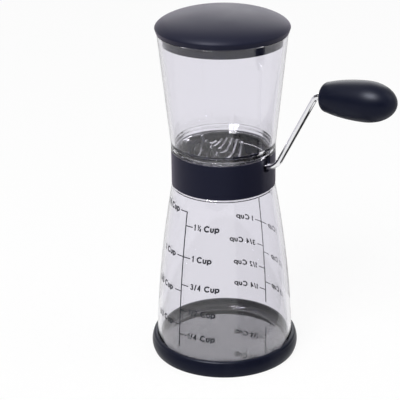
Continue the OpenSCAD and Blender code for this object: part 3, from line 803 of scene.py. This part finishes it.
class GRINDER_OT_scale(Operator):
    """Print the measuring scale on two opposite sides of the jar"""
    bl_idname = "grinder.scale"
    bl_label = "Measuring scale"

    def stroke(self, shape, points, width, thickness):
        """Adds a line through points to a flat print, as a closed film."""
        points = [Vector(point) for point in points]
        ways = [(b - a).normalized() for a, b in zip(points, points[1:])]
        rings = []
        for point, back, on in zip(points, ways[:1] + ways, ways + ways[-1:]):
            side = (back + on).orthogonal().normalized()
            side *= width / 2 / max(side.dot(on.orthogonal()), MITRE)
            rings.append([(*corner, way * thickness / 2) for corner, way in (
                (point - side, -1), (point + side, -1), (point + side, 1), (point - side, 1))])
        loft(shape, rings)

    def lettering(self, shape, words, near, up, scale):
        """Adds words to a flat print: right of the line they begin at near, and left of it they end there."""
        lines, pen, gap = [], 0.0, 0.0
        for sign in words:
            if sign == " ":
                gap += scale.word_gap
                continue
            pen += gap
            if sign in FRACTIONS:
                drawn, weight, gap = FRACTIONS[sign], scale.fine, 0.0
            elif sign.isalpha():
                drawn, weight, gap = LETTERS[sign], scale.weight, scale.letter_gap
            else:
                drawn, weight, gap = LETTERS[sign], scale.figure, scale.figure_gap
            for line in drawn:
                lines.append((weight, [(pen + weight / 2 + x * scale.size, y * scale.size) for x, y in line]))
            pen += weight + scale.size * max(x for line in drawn for x, y in line)
        left = near if near > 0 else near - pen
        base = up - scale.drop
        for weight, line in lines:
            self.stroke(shape, [(left + x, base + y) for x, y in line], weight, scale.ink)

    def wrap(self, shape, turn, drop, jar, scale):
        """Lays a flat print round the jar's wall, with its line upright and the rows beside it climbing."""
        for vert in shape.verts:
            across, up, out = vert.co
            up -= drop
            if abs(across) > scale.line / 2:
                up += scale.climb * across
            wall = jar_radius(jar, up)
            a = scale.bearing + turn + across / wall
            r = wall + scale.lift + scale.ink / 2 + out
            vert.co = (r * cos(a), r * sin(a), up)

    def execute(self, context):
        jar, scale = context.scene.grinder_jar, context.scene.grinder_scale
        top = LEFT_MARKS[0][0] * MM + scale.tick_w / 2
        line = [(0.0, height) for height in spaced(scale.low, top, LINE_STEPS)]
        reach = spaced(scale.line / 3, scale.tick, TICK_STEPS)
        for name, turn, drop in (("scale_front", 0.0, 0.0), ("scale_back", scale.back_turn, scale.back_drop)):
            shape = bmesh.new()
            self.stroke(shape, line, scale.line, scale.ink)
            for marks, way in ((RIGHT_MARKS, 1), (LEFT_MARKS, -1)):
                for height, start, words in marks:
                    up = height * MM
                    self.stroke(shape, [(way * across, up) for across in reach], scale.tick_w, scale.ink)
                    self.lettering(shape, words, way * start * MM, up, scale)
            self.wrap(shape, turn, drop, jar, scale)
            fit(solid(name, shape), "container", "black_plastic", scale_print)
        return {"FINISHED"}


class GRINDER_OT_collar(Operator):
    """Finish the collar and the bushes that carry the shaft"""
    bl_idname = "grinder.collar"
    bl_label = "Collar and bushes"

    def execute(self, context):
        paint(satin_black, "collar", "crank_bush", "end_bush")
        return {"FINISHED"}


class GRINDER_OT_combs(Operator):
    """Finish the two combs and their screws"""
    bl_idname = "grinder.combs"
    bl_label = "Combs and screws"

    def execute(self, context):
        paint(stamped_steel, "coarse_comb", "fine_comb", "comb_screws")
        return {"FINISHED"}


class GRINDER_OT_rotor(Operator):
    """Finish the tine wheels, their spacers, washers and clips"""
    bl_idname = "grinder.rotor"
    bl_label = "Rotor"

    def execute(self, context):
        wheels = [name for name in frame["nodes"] if name.startswith("tine_wheel")]
        spacers = [name for name in frame["nodes"] if name.startswith("rotor_spacer")]
        paint(stamped_steel, *wheels, "thrust_washers", "shaft_clips", "knob_clip")
        paint(black_nylon, *spacers)
        return {"FINISHED"}


class GRINDER_OT_crank(Operator):
    """Finish the bent rod of the crank"""
    bl_idname = "grinder.crank"
    bl_label = "Crank rod"

    def execute(self, context):
        paint(bright_rod, "crank_rod")
        return {"FINISHED"}


class GRINDER_OT_knob(Operator):
    """Make the egg-shaped grip on the crank's end and finish its sleeve"""
    bl_idname = "grinder.knob"
    bl_label = "Knob"

    def execute(self, context):
        knob = context.scene.grinder_knob
        spin = next(j for j in frame["record"]["behaviour"]["joints"] if j["name"] == "knob_spin")
        axis = Vector(spin["axis"]).normalized()
        start = Vector(spin["pos_m"]) + axis * knob.gap
        piece = turned("egg_grip", knob_outline(knob))
        piece.data.transform(Matrix.Translation(start) @ axis.to_track_quat("Z", "Y").to_matrix().to_4x4())
        even_normals(piece)
        fit(piece, "knob", "black_rubber", soft_black, "knob_grip")
        paint(satin_black, "knob_core")
        return {"FINISHED"}


class GRINDER_OT_hopper(Operator):
    """Make the clear hopper with its ringed flange and the arches over the shaft"""
    bl_idname = "grinder.hopper"
    bl_label = "Hopper"

    def execute(self, context):
        hopper = context.scene.grinder_hopper
        piece = turned("clear_hopper", hopper_outline(hopper))
        low = hopper.base - hopper.spigot - CUT_PAST
        foot = hopper.shaft + hopper.arch_foot
        arch = [(hopper.arch_w, foot), (hopper.arch_w, low), (-hopper.arch_w, low), (-hopper.arch_w, foot)]
        arch += rounded(hopper.arch_r, hopper.shaft, hopper.arch_r, 180 - ARCH_START, ARCH_START, steps=24)
        for ends in ARCHES:
            tunnel = prism("tunnel", [[(x * MM, y, z) for y, z in arch] for x in ends])
            joined(piece, tunnel, "DIFFERENCE")
        even_normals(piece)
        fit(piece, "hopper", "clear_plastic", clear_moulding, "hopper")
        return {"FINISHED"}


class GRINDER_OT_lid(Operator):
    """Make the domed lid with its plug"""
    bl_idname = "grinder.lid"
    bl_label = "Lid"

    def execute(self, context):
        piece = turned("domed_lid", lid_outline(context.scene.grinder_hopper))
        even_normals(piece)
        fit(piece, "lid", "black_plastic", satin_black, "lid")
        return {"FINISHED"}


def towards(azimuth, elevation):
    """Direction from the grinder to what stands at an azimuth and an elevation."""
    return Vector((sin(azimuth) * cos(elevation), -cos(azimuth) * cos(elevation), sin(elevation)))


class GRINDER_OT_stage(Operator):
    """Lay the pale floor, hang the soft lamps, stand the cards of painted reflection and set up the camera"""
    bl_idname = "grinder.stage"
    bl_label = "Stage"

    def seen(self, tree):
        """One for the rays that see the background: straight, mirrored or through glass."""
        path = put(tree, "LightPath").outputs
        first = maths(tree, "MAXIMUM", path["Is Camera Ray"], path["Is Glossy Ray"])
        return maths(tree, "MAXIMUM", first, path["Is Transmission Ray"])

    def floor(self, stage):
        """A wide pale floor that keeps a light shadow."""
        shape = bmesh.new()
        bmesh.ops.create_grid(shape, x_segments=FLOOR_CELLS, y_segments=FLOOR_CELLS, size=FLOOR_REACH)
        piece = solid("floor", shape)
        made = bpy.data.materials.new("pale_floor")
        made.use_nodes = True
        tree = made.node_tree
        tree.nodes.remove(tree.nodes["Principled BSDF"])
        matt = put(tree, "BsdfDiffuse", {"Color": (*stage.floor, 1.0)}).outputs[0]
        glow = put(tree, "Emission", {"Color": WHITE, "Strength": 1.0}).outputs[0]
        mask = maths(tree, "MULTIPLY", self.seen(tree), stage.floor_glow)
        mixed = put(tree, "MixShader", {0: mask, 1: matt, 2: glow}).outputs[0]
        tree.links.new(mixed, tree.nodes["Material Output"].inputs["Surface"])
        piece.data.materials.append(made)

    def lamp(self, name, azimuth, elevation, distance, size, power, gloss_only):
        """A square soft lamp that faces the grinder, for all light or only for the gloss."""
        data = bpy.data.lights.new(name, "AREA")
        data.shape, data.size, data.energy = "SQUARE", size, power
        made = bpy.data.objects.new(name, data)
        place = towards(radians(azimuth), radians(elevation)) * distance + LAMP_AIM
        way = LAMP_AIM - place
        made.matrix_world = Matrix.Translation(place) @ way.to_track_quat("-Z", "Y").to_matrix().to_4x4()
        made.visible_diffuse = not gloss_only
        bpy.context.scene.collection.objects.link(made)

    def card(self, name, place, size, turn, axis, shade):
        """A card that only mirrors see: a painted dark or grey reflection on bright and glossy faces where the
        white studio has nothing dark.
        """
        shape = bmesh.new()
        bmesh.ops.create_grid(shape, x_segments=CARD_CELLS, y_segments=CARD_CELLS, size=0.5)
        bmesh.ops.scale(shape, vec=(*size, 1.0), verts=shape.verts)
        bmesh.ops.rotate(shape, matrix=Matrix.Rotation(radians(turn), 3, axis), verts=shape.verts)
        bmesh.ops.translate(shape, vec=place, verts=shape.verts)
        piece = solid(name, shape)
        made = bpy.data.materials.new(name)
        made.use_nodes = True
        plain(made.node_tree.nodes["Principled BSDF"], Base_Color=(shade, shade, shade, 1.0),
              Roughness=CARD_ROUGHNESS)
        piece.data.materials.append(made)
        piece.visible_camera = piece.visible_diffuse = piece.visible_transmission = False
        piece.visible_volume_scatter = piece.visible_shadow = False

    def world(self, scene, stage):
        """White all round for what sees the background, and even light for the rest."""
        world = bpy.data.worlds.new("studio")
        world.use_nodes = True
        scene.world = world
        tree = world.node_tree
        even = tree.nodes["Background"]
        plain(even, Color=WHITE, Strength=stage.ambient)
        white = put(tree, "Background", {"Color": WHITE, "Strength": 1.0}).outputs[0]
        mixed = put(tree, "MixShader", {0: self.seen(tree), 1: even.outputs[0], 2: white}).outputs[0]
        tree.links.new(mixed, tree.nodes["World Output"].inputs["Surface"])

    def camera(self, scene, stage):
        """The camera, aimed at the grinder's axis and turned a little from it."""
        data = bpy.data.cameras.new("camera")
        data.sensor_width = SENSOR
        data.lens = stage.lens
        made = bpy.data.objects.new("camera", data)
        place = Vector((0.0, 0.0, stage.aim)) + towards(stage.azimuth, stage.elevation) * stage.distance
        turn = Matrix.Rotation(stage.azimuth, 4, "Z") @ Matrix.Rotation(pi / 2 - stage.elevation, 4, "X")
        turn = turn @ Matrix.Rotation(stage.pan, 4, "Y") @ Matrix.Rotation(stage.tilt, 4, "X")
        turn = turn @ Matrix.Rotation(stage.roll, 4, "Z")
        made.matrix_world = Matrix.Translation(place) @ turn
        scene.collection.objects.link(made)
        scene.camera = made

    def execute(self, context):
        scene, stage = context.scene, context.scene.grinder_stage
        scene.view_settings.view_transform = "Standard"
        self.floor(stage)
        for lamp in LAMPS:
            self.lamp(*lamp)
        # Painted reflections: cards that only mirrors see.
        for card in PAINTED_REFLECTIONS:
            self.card(*card)
        self.world(scene, stage)
        self.camera(scene, stage)
        return {"FINISHED"}


OPERATORS = (GRINDER_OT_foot, GRINDER_OT_jar, GRINDER_OT_scale, GRINDER_OT_collar, GRINDER_OT_combs,
             GRINDER_OT_rotor, GRINDER_OT_crank, GRINDER_OT_knob, GRINDER_OT_hopper, GRINDER_OT_lid,
             GRINDER_OT_stage)
GROUPS = {"grinder_jar": GrinderJar, "grinder_scale": GrinderScale, "grinder_hopper": GrinderHopper,
          "grinder_knob": GrinderKnob, "grinder_finishes": GrinderFinishes, "grinder_stage": GrinderStage}


class GRINDER_PT_pieces(Panel):
    """Buttons for the grinder's pieces"""
    bl_idname = "GRINDER_PT_pieces"
    bl_label = "Nut Grinder"
    bl_space_type = "VIEW_3D"
    bl_region_type = "UI"
    bl_category = "Grinder"

    def draw(self, context):
        for step in OPERATORS:
            self.layout.operator(step.bl_idname)


def register():
    """Adds the sizes, the buttons and the panel."""
    for name, group in GROUPS.items():
        bpy.utils.register_class(group)
        setattr(bpy.types.Scene, name, PointerProperty(type=group))
    for step in (*OPERATORS, GRINDER_PT_pieces):
        bpy.utils.register_class(step)


def unregister():
    """Takes them away again."""
    for step in (GRINDER_PT_pieces, *reversed(OPERATORS)):
        bpy.utils.unregister_class(step)
    for name, group in GROUPS.items():
        delattr(bpy.types.Scene, name)
        bpy.utils.unregister_class(group)


def main():
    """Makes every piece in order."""
    register()
    for step in OPERATORS:
        space, name = step.bl_idname.split(".")
        getattr(getattr(bpy.ops, space), name)()


if __name__ == "__main__":
    main()
